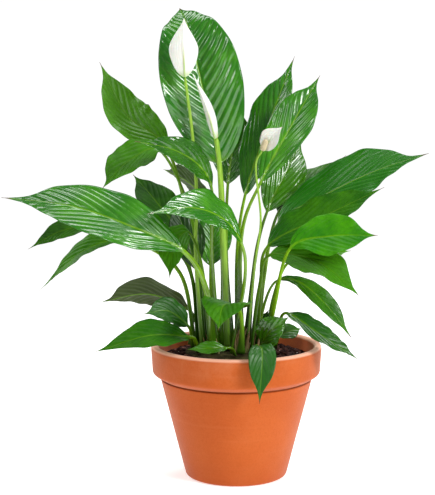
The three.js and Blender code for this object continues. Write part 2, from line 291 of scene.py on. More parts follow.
print("leaves")
leafSettings = {
    "stalkFoot": 3.2 * mm,  # stalk radius at the crown
    "stalkNeck": 1.6 * mm,  # and at the joint
    "sheathWiden": 1.5,  # the foot clasps its neighbours, so it is a little wider than deep
    "bladeThick": 0.45 * mm,
    "rise": 0.36,  # the halves rise from the midrib, as a share of the half width
    "droop": 0.17,  # and level off towards the edge
    "veinGap": 3.0 * mm,  # straight across from side vein to side vein
    "veinGapByWidth": 0.052,  # and that share of the blade's width on top
    "veinDepth": 0.23,  # as a share of that gap
    "glossDepth": 0.6,  # the shiniest leaves are that much deeper
    "cushionRound": 0.75,  # lower is flatter on top
    "ribClear": 0.10,  # flat beside the midrib, as a share of the half width
    "edgeClear": 0.25,  # and fading towards the edge
    "drip": 0.42,  # how far the last part is drawn in to a tail
    "bluntLeaves": ("tallest",),  # these have no tail
    "edgeWave": 1.9 * mm,
    "ripples": ((3.1, 1.0), (6.4, 0.55)),  # how many waves, and their share of edgeWave
    "halfWave": 0.07,  # slow waves of each half, as a share of its width
    "stalkRows": 20,
    "rowLength": 1.35 * mm,  # along the blade
    "acrossLength": 1.0 * mm,
    # paler side veins: partly their own pale colour, partly painted highlight streaks
    "veinPaleAndHighlightColour": (0.15, 0.42, 0.06),
    # painted shade: the feet of the stalks darkened where they crowd in the clump
    "stalkFootPaintedShade": (0.03, 0.105, 0.004),
    "dryTip": (0.11, 0.055, 0.02),
    "dullRoughness": 0.48,
    "glossyRoughness": 0.13,
}
coarse = 1.0
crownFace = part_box("crown")[1][2] + 0.3 * mm

# Name after "leaf_", green, blade width, where it is widest, stoutness, the way the upper face
# looks, and the spine from root through knee, joint and blade to the tip, in mm over the crown.
leafList = [
    ("tallest", "fresh", 80, 0.37, 1.5, (0.1, -1, 0.1),
     (-10, 8, 0), (-13, 6, 100), (-17, 4, 184), (-33, -2, 256), (-47, 12, 315), (-57, 52, 338)),
    ("upper_left", "mid", 46, 0.45, 0.9, (0.2, -0.8, 0.5),
     (-29, 20, 0), (-47, 34, 117), (-70, 34, 198), (-110, 42, 230), (-139, 60, 284)),
    ("left_arch", "mid", 33, 0.5, 0.9, (0, -0.8, 0.6),
     (-17, -12, 0), (-24, -18, 93), (-24, -24, 158), (-35, -34, 182), (-60, -52, 199),
     (-95, -78, 208)),
    ("left_droop", "deep", 42, 0.45, 0.9, (-0.2, -0.7, 0.7),
     (-31, 2, 0), (-42, 0, 120), (-72, -5, 194), (-103, -24, 188), (-128, -50, 162)),
    ("left_broad", "fresh", 54, 0.5, 1.3, (0, -0.8, 0.6),
     (-22, -29, 0), (-30, -46, 67), (-51, -58, 104), (-95, -70, 127), (-154, -66, 147),
     (-223, -50, 154)),
    ("left_back_small", "deep", 26, 0.45, 0.8, (0, -0.7, 0.7),
     (-37, 27, 0), (-52, 34, 84), (-118, 42, 121), (-175, 55, 113), (-214, 50, 93)),
    ("left_low", "mid", 36, 0.45, 0.9, (-0.1, -0.4, 0.9),
     (-41, 8, 0), (-56, 2, 75), (-105, 0, 107), (-151, 8, 97), (-199, 20, 54)),
    ("left_hanging", "deep", 36, 0.45, 0.8, (-0.6, -0.8, 0.1),
     (-26, -20, 0), (-33, -24, 80), (-46, -26, 118), (-60, -32, 106), (-65, -38, 75)),
    ("left_backlit", "deep", 36, 0.5, 0.9, (0.2, -1, 0.2),
     (-21, 14, 0), (-30, 16, 40), (-40, 16, 77), (-50, 22, 110), (-64, 30, 146)),
    ("left_under", "deep", 40, 0.45, 0.9, (0, 0.8, 0.6),
     (-46, 17, 0), (-44, 16, 20), (-48, 16, 36), (-90, 27, 50), (-140, 50, 38)),
    ("left_folded", "mid", 30, 0.45, 0.9, (-0.1, -0.8, 0.6),
     (-43, -6, 0), (-44, -10, 12), (-48, -15, 25), (-67, -24, 41), (-90, -34, 40)),
    ("left_front_low", "mid", 36, 0.45, 1, (-0.1, -0.6, 0.8),
     (-38, -21, 0), (-40, -28, 11), (-46, -38, 18), (-85, -54, 22), (-136, -64, 8)),
    ("on_soil", "deep", 18, 0.45, 0.7, (0, -0.5, 0.9),
     (-2, -37, 0), (-4, -44, 7), (-10, -52, 10), (-28, -60, 11), (-48, -60, 10)),
    ("front", "mid", 46, 0.4, 1, (0, -0.3, 1),
     (4, -30, 0), (5, -33, 28), (1, -40, 47), (-13, -72, 54), (-18, -97, 35)),
    ("over_rim", "mid", 26, 0.58, 0.8, (0, -1, 0.4),
     (19, -29, 0), (19, -38, 8), (19, -52, 12), (23, -85, 11.4), (20, -99, -33.6)),
    ("front_small", "deep", 30, 0.45, 0.8, (0.1, -0.8, 0.6),
     (24, -20, 0), (25, -26, 5), (24, -33, 10), (33, -44, 25), (50, -50, 40)),
    ("young", "deep", 14, 0.45, 0.6, (-0.3, -1, 0.3),
     (30, 8, 0), (29, 9, 6), (28, 11, 12), (28, 14, 24), (33, 20, 35)),
    ("right_front_low", "mid", 28, 0.45, 0.9, (0.1, -0.4, 0.9),
     (38, -5, 0), (42, -12, 22), (49, -24, 39), (82, -42, 20), (118, -50, -3)),
    ("right_pale_small", "mid", 20, 0.45, 0.6, (0.3, -0.7, 0.7),
     (38, 12, 0), (40, 16, 6), (43, 20, 8), (54, 30, 11), (68, 42, 12)),
    ("right_twisted", "mid", 22, 0.6, 0.8, (0.2, -0.7, 0.7),
     (22, 4, 0), (25, 8, 30), (38, 9, 64), (62, 3, 66), (90, -8, 43), (113, -22, 13)),
    ("right_glossy", "deep", 46, 0.45, 0.9, (0.1, -0.6, 0.8),
     (14, -13, 0), (22, -20, 63), (32, -24, 96), (78, -40, 91), (117, -58, 60)),
    ("right_middle", "fresh", 45, 0.5, 0.9, (0, -0.8, 0.6),
     (30, -10, 0), (37, -32, 50), (50, -55, 106), (87, -58, 118), (132, -60, 119)),
    ("right_hidden", "mid", 30, 0.45, 0.8, (0, -0.6, 0.8),
     (31, 18, 0), (38, 30, 45), (54, 44, 80), (88, 62, 86), (122, 80, 88)),
    ("right_broad", "fresh", 66, 0.45, 1, (0, -0.6, 0.8),
     (22, 20, 0), (28, 22, 67), (42, 22, 122), (92, 18, 153), (140, 6, 177), (187, -10, 194)),
    ("right_under", "mid", 52, 0.45, 0.9, (0, -0.6, 0.8),
     (20, -4, 0), (24, -5, 60), (31, -8, 103), (83, -16, 132), (142, -26, 162)),
    ("right_back", "deep", 44, 0.45, 0.9, (0, -0.6, 0.8),
     (20, 31, 0), (30, 44, 75), (44, 52, 131), (74, 68, 153), (117, 92, 188)),
    ("upper_right", "fresh", 50, 0.48, 0.9, (-0.6, -0.8, 0.2),
     (2, 19, 0), (1, 24, 87), (9, 28, 150), (33, 36, 222), (60, 60, 290)),
    ("upper_right_front", "fresh", 46, 0.48, 0.9, (-0.4, -0.9, 0.3),
     (5, 6, 0), (5, 6, 110), (24, 6, 165), (55, 8, 222), (83, 22, 270)),
    ("upper_right_back", "deep", 44, 0.48, 0.9, (0.2, -0.8, 0.6),
     (11, 29, 0), (20, 40, 86), (32, 48, 132), (50, 60, 168), (70, 84, 206)),
    ("top_back", "mid", 46, 0.45, 0.9, (0, -1, 0.3),
     (-5, 30, 0), (-10, 44, 95), (-8, 56, 160), (-3, 64, 200), (0, 72, 248)),
    ("centre", "fresh", 46, 0.45, 0.9, (0, -0.7, 0.7),
     (-5, -25, 0), (8, -32, 74), (4, -40, 110), (-14, -50, 134), (-44, -70, 146), (-83, -90, 142)),
    ("back_left", "deep", 42, 0.45, 0.8, (0.3, -0.9, 0.4),
     (-30, 34, 0), (-45, 60, 62), (-58, 77, 106), (-84, 96, 139), (-110, 122, 166)),
    ("back_curled", "mid", 46, 0.45, 0.8, (0, 0.7, 0.7),
     (-18, 40, 0), (-24, 70, 74), (-27, 90, 132), (-48, 110, 157), (-78, 136, 171)),
    ("back_middle", "fresh", 40, 0.45, 0.8, (0.1, -1, 0.3),
     (-18, 29, 0), (-25, 46, 43), (-26, 52, 76), (-24, 60, 108), (-30, 72, 142)),
]
# How much fresher than its kind, how shiny from 0 to 1, and how far the side veins run forward.
# A leaf that isn't here draws its own.
leafManners = {
    "tallest": (-0.3, 0.84, 0.74),
    "upper_left": (2.6, 0.42, 2.4),
    "left_arch": (-0.2, 1, 2.6),
    "left_droop": (0.5, 0.05, 2.4),
    "left_broad": (-0.2, 0.76, 2.4),
    "left_back_small": (0, 0.3, 1.8),
    "left_low": (0.2, 0.05, 2.4),
    "left_hanging": (1, 0.1, 2),
    "left_under": (-0.2, 0.1, 2),
    "left_folded": (-0.5, 0.36, 2),
    "left_front_low": (-0.2, 0.3, 1.8),
    "front": (0, 0.1, 2),
    "over_rim": (-1.1, 0.36, 1.8),
    "back_left": (-0.2, 0, 1.8),
    "back_curled": (0, 0, 1.6),
    "back_middle": (0, 0.9, 1.2),
    "right_middle": (0, 0.3, 1.3),
    "right_glossy": (1, 0.2, 2.2),
    "right_broad": (-0.6, 0.55, 2.4),
    "right_twisted": (0, 0.6, 2.2),
    "upper_right": (-0.3, 1, 2.2),
    "upper_right_front": (0, 0.8, 2.2),
    "upper_right_back": (0.5, 0.75, 2.2),
    "front_small": (0.5, 0.8, 2),
    "top_back": (-0.4, 1, 2.2),
    "centre": (-0.2, 1, 2.2),
}
leafColours = {  # deep tone, fresh tone, stalk and midrib, underside
    "fresh": ((0.012, 0.15, 0), (0.095, 0.4, 0.001), (0.22, 0.46, 0.004), (0.08, 0.21, 0.006)),
    "mid": ((0.01, 0.098, 0), (0.075, 0.29, 0.001), (0.17, 0.37, 0.004), (0.055, 0.13, 0.004)),
    "deep": ((0.006, 0.046, 0), (0.05, 0.22, 0.001), (0.11, 0.26, 0.004), (0.042, 0.078, 0.004)),
}
leafFinishes = {  # for leaves that shine more than the first number, and the specular level
    "shiny": (0.65, 0.9), "satin": (0.33, 0.4), "matte": (-1, 0.12),
}


def stalkColourAndFootShade(bench, along, green):
    # Painted shade: the stalk darkens towards its foot, in the middle of the clump.
    foot = bench.fade(along, 0.05, 0.65, 0.9, 0.0)
    return bench.blend(foot, green, leafSettings["stalkFootPaintedShade"])


def leafTop(name, deepGreen, freshGreen, stalkGreen, specular):
    cut = leafSettings
    bench = NodeBench(name)
    here = bench.place()
    along = bench.attribute("along")  # 0 at the root, 1 at the joint, 2 at the tip
    fromRib = bench.attribute("fromRib")  # metres from the midrib
    vein = bench.attribute("vein")  # 0 on a side vein, 1 on the cushion between two
    tone = bench.attribute("tone")  # tone and shine are one value for the whole leaf
    shine = bench.attribute("shine")
    cloudy = bench.noise(here, 38, 5)
    mottled = bench.noise(here, 420, 3)
    freshness = bench.maths("ADD", cloudy, bench.maths("MULTIPLY", tone, 0.5))
    blade = bench.blend(bench.fade(freshness, 0.2, 0.95), deepGreen, freshGreen)
    # Side veins paler: partly the leaf's own pale veins, partly painted highlight streaks along
    # them, stronger the shinier the leaf.
    paleVeinAndHighlightShare = bench.fade(shine, 0.3, 1.0, 0.12, 0.6)
    paleVeinAndHighlight = bench.maths("MULTIPLY", bench.fade(vein, 0.5, 0.05), paleVeinAndHighlightShare)
    blade = bench.blend(paleVeinAndHighlight, blade, cut["veinPaleAndHighlightColour"])
    blade = bench.blend(bench.fade(mottled, 0.35, 0.7, 0.0, 0.16), blade, scaled(deepGreen, 0.55))
    ribWidth = bench.fade(along, 1.0, 1.95, 1.9 * mm, 0.35 * mm)
    rib = bench.fade(bench.maths("DIVIDE", fromRib, ribWidth), 1.0, 0.35)
    rib = bench.maths("MULTIPLY", rib, bench.fade(shine, 0.4, 0.9, 0.35, 0.7))
    blade = bench.blend(rib, blade, stalkGreen)
    stalk = bench.blend(bench.fade(cloudy, 0.3, 0.7), stalkGreen, scaled(stalkGreen, 0.6))
    stalk = stalkColourAndFootShade(bench, along, stalk)
    colour = bench.blend(bench.fade(along, 0.93, 1.06), stalk, blade)
    ragged = bench.maths("ADD", along, bench.maths("MULTIPLY", mottled, 0.02))
    colour = bench.blend(bench.fade(ragged, 1.95, 1.985), colour, cut["dryTip"])
    rough = bench.fade(shine, 0.0, 1.0, cut["dullRoughness"], cut["glossyRoughness"])
    smudges = bench.fade(bench.noise(here, 90, 4), 0.3, 0.75, 0.0, 0.08)
    skin = bench.bump(bench.cells(here, 2600), 0.00004, 0.2)
    skin = bench.bump(mottled, 0.00008, 0.4, skin)
    rough = bench.maths("ADD", rough, smudges)
    return bench.setShader(Base_Color=colour, Roughness=rough, Normal=skin,
                           Specular_IOR_Level=specular)


def leafUnder(name, paleGreen, stalkGreen):
    bench = NodeBench(name)
    here = bench.place()
    along = bench.attribute("along")
    fromRib = bench.attribute("fromRib")
    vein = bench.attribute("vein")
    cloudy = bench.noise(here, 30, 5)
    blade = bench.blend(bench.fade(cloudy, 0.25, 0.75), paleGreen, scaled(paleGreen, 0.55))
    blade = bench.blend(bench.fade(vein, 0.4, 0.0, 0.0, 0.6), blade, scaled(paleGreen, 1.6))
    ribWidth = bench.fade(along, 1.0, 1.95, 2.2 * mm, 0.5 * mm)
    rib = bench.fade(bench.maths("DIVIDE", fromRib, ribWidth), 1.0, 0.4, 0.0, 0.9)
    blade = bench.blend(rib, blade, stalkGreen)
    stalk = stalkColourAndFootShade(bench, along, stalkGreen)
    colour = bench.blend(bench.fade(along, 0.93, 1.06), stalk, blade)
    colour = bench.blend(bench.fade(along, 1.965, 1.995), colour, leafSettings["dryTip"])
    rough = bench.fade(cloudy, 0.3, 0.7, 0.38, 0.5)
    skin = bench.bump(bench.noise(here, 700, 3), 0.00015, 0.5)
    return bench.setShader(Base_Color=colour, Roughness=rough, Normal=skin, Specular_IOR_Level=0.25)


leafMaterials = {}
for green, (deepGreen, freshGreen, stalkGreen, paleGreen) in leafColours.items():
    under = leafUnder("leaf_under_" + green, paleGreen, stalkGreen)
    for finish, (_, specular) in leafFinishes.items():
        name = "leaf_top_" + green + "_" + finish
        top = leafTop(name, deepGreen, freshGreen, stalkGreen, specular)
        leafMaterials[green, finish] = (top, under)


def overCrown(x, y, z):
    return Vector((x * mm, y * mm, crownFace + z * mm))


def waveSum(ripples, s):
    return sum(size * math.sin(2 * math.pi * turns * s + shift) for turns, shift, size in ripples)


def makeLeaf(leaf, green, width, belly, stout, face, *points):
    name = "leaf_" + leaf
    cut = leafSettings
    dice = random.Random(name)
    spine = Spine([overCrown(*point) for point in points])
    joint = 2 / (len(points) - 1)
    marks = [spine.at(joint + (1 - joint) * i / 40) for i in range(41)]
    bladeLength = sum((after - before).length for before, after in zip(marks, marks[1:]))
    stalkRows = cut["stalkRows"]
    bladeRows = max(int(bladeLength / cut["rowLength"] / coarse), 24)
    stations = [joint * i / stalkRows for i in range(stalkRows)]
    stations += [joint + (1 - joint) * i / bladeRows for i in range(bladeRows + 1)]
    facing = joint + 0.52 * (1 - joint)  # where the blade looks the way that face says
    middle = min(range(len(stations)), key=lambda i: abs(stations[i] - facing))
    frames = spine.frames(stations, face, middle)
    halfWidth = 0.5 * width * mm
    around = 4 * max(round(halfWidth / cut["acrossLength"] / coarse), 7)
    small = min(width / 60, 1)  # a narrow leaf waves less
    drawn = (dice.uniform(-0.5, 0.5), dice.uniform(0.2, 0.6), 2.0)
    tone, shine, slant = leafManners.get(leaf, drawn)
    gap = cut["veinGap"] + cut["veinGapByWidth"] * width * mm
    depth = cut["veinDepth"] * gap * (1 + cut["glossDepth"] * shine ** 4)
    spacing = gap * (1 + (1.25 * slant) ** 2) ** 0.5  # the gap measured along the midrib
    veinShift = dice.random()
    ripples = [[(dice.uniform(0.8, 1.2) * turns, dice.uniform(0, wholeTurn),
                 dice.uniform(0.5, 1) * size) for turns, size in cut["ripples"]] for _ in range(2)]
    slow = [(dice.uniform(0.9, 1.7), dice.uniform(0, wholeTurn)) for _ in range(2)]
    drip = 0 if leaf in cut["bluntLeaves"] else cut["drip"]

    along = []  # what stays the same all round a station
    for t in stations:
        s = max((t - joint) / (1 - joint), 0)  # 0 at the joint and 1 at the tip
        down = min(t / joint, 1)  # 0 at the root and 1 at the joint
        radius = stout * (cut["stalkFoot"] + (cut["stalkNeck"] - cut["stalkFoot"]) * down ** 0.6)
        reach = halfWidth * bladeOutline(s, belly, drip)
        wide = max(reach, radius * (1 - smoothStep(s / 0.10)), 0.25 * mm)
        free = smoothStep(s / 0.2) * smoothStep((1 - s) / 0.3)
        edges = [waveSum(ripples[k], s) * cut["edgeWave"] * small * free for k in range(2)]
        slows = [cut["halfWave"] * wide * math.sin(2 * math.pi * turns * s + shift) * free
                 for turns, shift in slow]
        ends = smoothStep(s / 0.12) * smoothStep((1 - s) / 0.22)
        along.append((s, down, radius, wide, reach, ends, edges, slows))

    def section(station, across, turn):
        s, down, radius, wide, reach, ends, edges, slows = along[station]
        if s == 0:
            clasp = 1 + (cut["sheathWiden"] - 1) * (1 - smoothStep(down / 0.4))
            aside = radius * clasp * math.cos(math.pi * turn)
            high = radius / clasp * math.sin(math.pi * turn)
            groove = 0.22 * radius * math.exp(-(across / 0.3) ** 2)
            return aside, high - groove, -high, down, 0.0, 1.0, tone, shine
        part = abs(across)  # 0 at the midrib and 1 at the edge
        k = 0 if across < 0 else 1
        aside = across * wide
        rooted = s * bladeLength - reach * part * slant * (1 + 0.5 * part)  # where its vein starts
        place = rooted / spacing + veinShift + 0.5 * k
        cushion = abs(math.sin(math.pi * place)) ** cut["cushionRound"]
        window = smoothStep((part - 0.02) / cut["ribClear"])
        window = window * smoothStep((1 - part) / cut["edgeClear"]) * ends
        vein = 1 - (1 - cushion) * window  # 0 on a side vein and 1 on the cushion between two
        thin = 0.5 * cut["bladeThick"] * (1 - 0.75 * part ** 6) * min(1, wide / (2 * mm))
        ribRadius = stout * cut["stalkNeck"] * (1 - 0.86 * s)
        inRib = max(ribRadius ** 2 - aside ** 2, 0) ** 0.5
        lift = wide * (cut["rise"] * part - cut["droop"] * part ** 2) * smoothStep(s / 0.15)
        lift += depth * (vein - 1) + edges[k] * part ** 3 + slows[k] * part ** 1.5
        proud = max(inRib * (1 - smoothStep(s / 0.14)), thin)
        groove = 0.5 * ribRadius * math.exp(-(aside / (0.8 * ribRadius)) ** 2)
        over = lift + proud - groove * smoothStep((s - 0.05) / 0.1)
        return aside, over, lift - max(inRib, thin), 1 + s, abs(aside), vein, tone, shine

    layers = ("along", "fromRib", "vein", "tone", "shine")
    bm = wrapSkin(frames, around, section, layers, twoSided=True)
    finish = next(kind for kind, (least, _) in leafFinishes.items() if shine > least)
    finishSkin(bm, name, leafMaterials[green, finish], "leaf_" + green)


for row in leafList:
    makeLeaf(*row)

print("flowers")
flowerSettings = {
    "hoodThick": 0.8 * mm, "hoodRows": 80, "hoodRound": 88,
    "stalkRows": 60, "stalkRound": 24,
    "knobRows": 11, "knobsRound": 9,  # rows on a spike 22 mm long
    "white": (0.9, 0.89, 0.83), "cream": (0.8, 0.79, 0.7),
    "hoodRib": (0.36, 0.52, 0.12), "hoodFoot": (0.42, 0.58, 0.18), "hoodVeinGap": 1.6 * mm,
    # stalkShade is painted shade, laid on low on the flower stalks
    "stalk": ((0.33, 0.56, 0.05), (0.22, 0.43, 0.03)), "stalkShade": (0.06, 0.17, 0.01),
    "spikeHollow": (0.42, 0.32, 0.16), "spikeKnob": (0.8, 0.72, 0.48),
    "spikeStain": (0.55, 0.43, 0.24),
}
# Lengths are in mm, and points in mm over the crown. The hood opens towards face.
flowerList = [
    {"name": "flower_tall", "belly": 0.45, "stalkRadius": 1.5, "width": 28, "cup": 0.35,
     "spike": 30, "spikeRadius": 3.4, "face": (0, 1, 0.1),
     "stalk": [(-34, -12, 0), (-40, -12, 93), (-39, -10, 151), (-43, -14, 212), (-50, -22, 268)],
     "hood": [(-51, -32, 296), (-51, -18, 323)]},
    {"name": "flower_closed", "belly": 0.36, "stalkRadius": 2.5, "width": 10, "cup": 0.9,
     "spike": 22, "spikeRadius": 2.6, "face": (0.3, 1, 0),
     "stalk": [(-9, -11, 0), (-12, -12, 91), (-15, -14, 152), (-17, -16, 185), (-20, -18, 209)],
     "hood": [(-29, -26, 238), (-42, -22, 270)]},
    {"name": "flower_small", "belly": 0.45, "stalkRadius": 0.95, "width": 20, "cup": 0.4,
     "spike": 12, "spikeRadius": 3.2, "face": (-0.2, -1, 0.3),
     "stalk": [(10, -21, 0), (17, -26, 83), (23, -28, 130), (18, -30, 181), (24, -36, 198)],
     "hood": [(33, -38, 210), (42, -44, 220)]},
]


def spatheMaterial():
    look = flowerSettings
    bench = NodeBench("spathe_skin")
    here = bench.place()
    along = bench.attribute("along")  # 0 at the foot and 1 at the tip
    fromRib = bench.attribute("fromRib")
    cloudy = bench.noise(here, 60, 4)
    white = bench.blend(bench.fade(cloudy, 0.3, 0.75), look["white"], look["cream"])
    rib = bench.fade(fromRib, 1.3 * mm, 0.5 * mm, 0.0, 0.85)
    rib = bench.maths("MULTIPLY", rib, bench.fade(along, 0.62, 0.2))
    colour = bench.blend(rib, white, look["hoodRib"])
    colour = bench.blend(bench.fade(along, 0.14, 0.0, 0.0, 0.7), colour, look["hoodFoot"])
    veins = bench.maths("SINE", bench.maths("MULTIPLY", fromRib, 2 * math.pi / look["hoodVeinGap"]))
    skin = bench.bump(veins, 0.00008, 0.5)
    skin = bench.bump(bench.noise(here, 900, 2), 0.0001, 0.4, skin)
    return bench.setShader(Base_Color=colour, Roughness=0.42, Normal=skin, Specular_IOR_Level=0.45,
                           Subsurface_Weight=0.15, Subsurface_Scale=0.003)


def flowerStalkMaterial():
    look = flowerSettings
    bench = NodeBench("flower_stalk_skin")
    streaks = bench.noise(bench.place((1, 1, 0.06)), 900, 3)
    fresh = bench.blend(bench.fade(streaks, 0.3, 0.7), *look["stalk"])
    # Painted shade: the stalk darkens towards the crown, where the clump shades it.
    shade = bench.fade(bench.axis(bench.place(), "Z"), 0.13, 0.24, 0.85, 0.0)
    colour = bench.blend(shade, fresh, look["stalkShade"])
    skin = bench.bump(streaks, 0.0002, 0.5)
    return bench.setShader(Base_Color=colour, Roughness=0.36, Normal=skin)


def spadixMaterial():
    look = flowerSettings
    bench = NodeBench("spadix_skin")
    here = bench.place()
    knob = bench.fade(bench.attribute("knob"), 0.2, 0.8)
    stain = bench.fade(bench.noise(here, 300, 3), 0.45, 0.75, 0.0, 0.5)
    colour = bench.blend(knob, look["spikeHollow"], look["spikeKnob"])
    colour = bench.blend(stain, colour, look["spikeStain"])
    skin = bench.bump(bench.noise(here, 2500, 3), 0.0002, 0.6)
    return bench.setShader(Base_Color=colour, Roughness=0.7, Normal=skin)


spatheSkin = spatheMaterial()
flowerStalkSkin = flowerStalkMaterial()
spadixSkin = spadixMaterial()


def makeFlowerStalk(flower, spine):
    rows = flowerSettings["stalkRows"]
    stations = [i / rows for i in range(rows + 1)]
    frames = spine.frames(stations, flower["face"], round(0.7 * rows))

    def section(station, across, turn):
        t = stations[station]
        r = flower["stalkRadius"] * mm * (1.25 - 0.35 * t)
        r *= 1 + 0.03 * math.cos(6 * math.pi * turn)
        r *= 1 - 0.4 * smoothStep((t - 0.97) / 0.03)
        high = r * math.sin(math.pi * turn)
        return r * math.cos(math.pi * turn), high, -high, t

    bm = wrapSkin(frames, flowerSettings["stalkRound"], section, ("along",))
    finishSkin(bm, flower["name"] + "_stalk", [flowerStalkSkin], "flower_stalk")


def makeSpadix(flower, top, along):
    radius = flower["spikeRadius"] * mm
    length = flower["spike"] * mm
    bm = bmesh.new()
    bmesh.ops.create_uvsphere(bm, u_segments=72, v_segments=84, radius=1)
    knob = bm.verts.layers.float.new("knob")
    rowsUp = flowerSettings["knobRows"] * length / (22 * mm)
    knobsRound = flowerSettings["knobsRound"]
    for vertex in bm.verts:
        height = vertex.co.z
        angle = math.atan2(vertex.co.y, vertex.co.x)
        share = 0.5 * (height + 1)
        girth = (1 - abs(height) ** 5) ** 0.5 if abs(height) < 1 else 0
        lattice = math.cos(knobsRound * angle + math.pi * rowsUp * share)
        lattice *= math.cos(knobsRound * angle - math.pi * rowsUp * share)
        bead = abs(lattice) ** 0.7
        vertex[knob] = bead
        r = radius * girth * (0.86 + 0.14 * bead) * (1 - 0.12 * share)
        vertex.co = (r * math.cos(angle), r * math.sin(angle), share * length)
    turn = Vector((0, 0, 1)).rotation_difference(along).to_matrix().to_4x4()
    seat = Matrix.Translation(top - along * 0.5 * mm)  # sunk a little into the stalk
    bmesh.ops.transform(bm, matrix=seat @ turn, verts=bm.verts[:])
    bmesh.ops.recalc_face_normals(bm, faces=bm.faces[:])
    finishSkin(bm, flower["name"] + "_spadix", [spadixSkin], "spadix")


def makeSpathe(flower, top, along):
    face = Vector(flower["face"])
    front = (face - along * face.dot(along)).normalized()
    foot = top - front * (flower["spikeRadius"] + 1.2) * mm
    spine = Spine([foot] + [overCrown(*p) for p in flower["hood"]])
    rows = flowerSettings["hoodRows"]
    stations = [i / rows for i in range(rows + 1)]
    frames = spine.frames(stations, flower["face"], round(0.6 * rows))
    halfWidth = 0.5 * flower["width"] * mm
    thick = 0.5 * flowerSettings["hoodThick"]

    def section(station, across, turn):
        s = stations[station]
        fuller = 0.75 if s < flower["belly"] else 1  # rounder towards the foot
        outline = bladeOutline(s, flower["belly"]) ** fuller
        wide = max(halfWidth * outline, 1.1 * mm * (1 - smoothStep(s / 0.3)), 0.3 * mm)
        part = abs(across)
        lift = flower["cup"] * halfWidth * outline * part ** 1.5
        lift += 0.10 * mm * math.cos(across * halfWidth * 2 * math.pi / (2.4 * mm)) * outline
        lift += 0.5 * mm * math.sin(9 * s + 2 * across) * part ** 3 * outline
        edge = thick * (1 - 0.7 * part ** 4)
        rib = 0.9 * mm * (1 - 0.8 * s) * math.exp(-(across * wide / (0.9 * mm)) ** 2)
        return across * wide, lift + edge, lift - edge - rib, s, abs(across * wide)

    around = flowerSettings["hoodRound"]
    bm = wrapSkin(frames, around, section, ("along", "fromRib"), flatFoot=False)
    finishSkin(bm, flower["name"] + "_spathe", [spatheSkin], "spathe")


for flower in flowerList:
    spine = Spine([overCrown(*p) for p in flower["stalk"]])
    top, along = spine.at(1), spine.along(1)
    makeFlowerStalk(flower, spine)
    makeSpadix(flower, top, along)
    makeSpathe(flower, top, along)

print("pot")
potSettings = {
    "bandHeight": 28 * mm, "bandTaper": 1.5 * mm, "step": 8 * mm, "stepDrop": 5 * mm,
    "lipWall": 7 * mm, "lipRound": 3 * mm, "footRound": 3 * mm, "wall": 6.5 * mm,
    "baseRadius": 50.5 * mm, "floor": 9 * mm, "crease": 1.6 * mm, "turns": 160,
    "holeRadius": 5 * mm, "holeCircle": 26 * mm, "holes": 3, "cornerSteps": 7,
    "wander": 0.25 * mm,  # how far the hand-thrown wall strays inwards
    "clay": ((0.48, 0.088, 0.012), (0.56, 0.12, 0.02)), "grain": (0.33, 0.058, 0.012),
    "ring": (0.6, 0.17, 0.055), "speck": (0.22, 0.045, 0.012),
    "bloom": (0.66, 0.27, 0.13), "bloomHeights": (0.10, 0.131),  # lime bloom, most of it on the rim
    # the lip colour is a painted highlight along the rim's top edge, as lit from above
    "lip": (0.95, 0.5, 0.34), "lipHighlightHeights": (0.1288, 0.1312),
    "foot": (0.4, 0.066, 0.008), "footHeight": 0.05,
    # creaseShade is a painted shadow in the crease under the band
    "creaseShade": (0.09, 0.018, 0.006), "creaseHeight": 0.0986,
}


def terracottaMaterial():
    look = potSettings
    bench = NodeBench("terracotta_clay")
    here = bench.place()
    up = bench.axis(here, "Z")
    grain = bench.noise(here, 520, 6, 0.65)
    rings = bench.noise(bench.place((1.2, 1.2, 42)), 6, 3)  # faint turning lines round the pot
    clay = bench.blend(bench.fade(bench.noise(here, 9, 6, 0.6), 0.3, 0.72), *look["clay"])
    clay = bench.blend(bench.fade(grain, 0.42, 0.75, 0.0, 0.22), clay, look["grain"])
    clay = bench.blend(bench.fade(rings, 0.52, 0.75, 0.0, 0.14), clay, look["ring"])
    patches = bench.fade(bench.noise(here, 16, 7, 0.7), 0.50, 0.78)
    bloom = bench.maths("MULTIPLY", patches, bench.fade(up, *look["bloomHeights"], 0.10, 0.32))
    clay = bench.blend(bloom, clay, look["bloom"])
    # Painted highlight: the top edge of the rim paler, as if lit from above.
    clay = bench.blend(bench.fade(up, *look["lipHighlightHeights"], 0.0, 0.9), clay, look["lip"])
    clay = bench.blend(bench.fade(up, look["footHeight"], 0.0, 0.0, 0.3), clay, look["foot"])
    # Painted shadow: a dark line in the crease where the band overhangs the body.
    fromCrease = bench.maths("ABSOLUTE", bench.maths("SUBTRACT", up, look["creaseHeight"]))
    creaseShadow = bench.fade(fromCrease, 1.4 * mm, 0.4 * mm, 0.0, 0.55)
    clay = bench.blend(creaseShadow, clay, look["creaseShade"])
    specks = bench.fade(bench.cells(here, 230), 0.10, 0.03, 0.0, 0.3)
    clay = bench.blend(specks, clay, look["speck"])
    skin = bench.bump(rings, 0.0006, 0.25)
    skin = bench.bump(grain, 0.0004, 0.4, skin)
    skin = bench.bump(bench.cells(here, 1100), 0.0002, 0.3, skin)
    rough = bench.fade(grain, 0.3, 0.7, 0.72, 0.92)
    return bench.setShader(Base_Color=clay, Roughness=rough, Normal=skin, Specular_IOR_Level=0.15,
                           Sheen_Weight=0.22, Sheen_Roughness=0.45)


def roundedPath(path, corner, steps):  # the path with each corner in `corner` made a short arc
    points = []
    for i, (r, z) in enumerate(path):
        here = Vector((r, 0, z))
        size = corner.get(i, 0)
        if not size:
            points.append(here)
            continue
        before = (Vector((path[i - 1][0], 0, path[i - 1][1])) - here).normalized() * size
        after = (Vector((path[i + 1][0], 0, path[i + 1][1])) - here).normalized() * size
        for k in range(steps + 1):
            w = k / steps
            points.append(here + before * (1 - w) ** 2 + after * w ** 2)
    return points


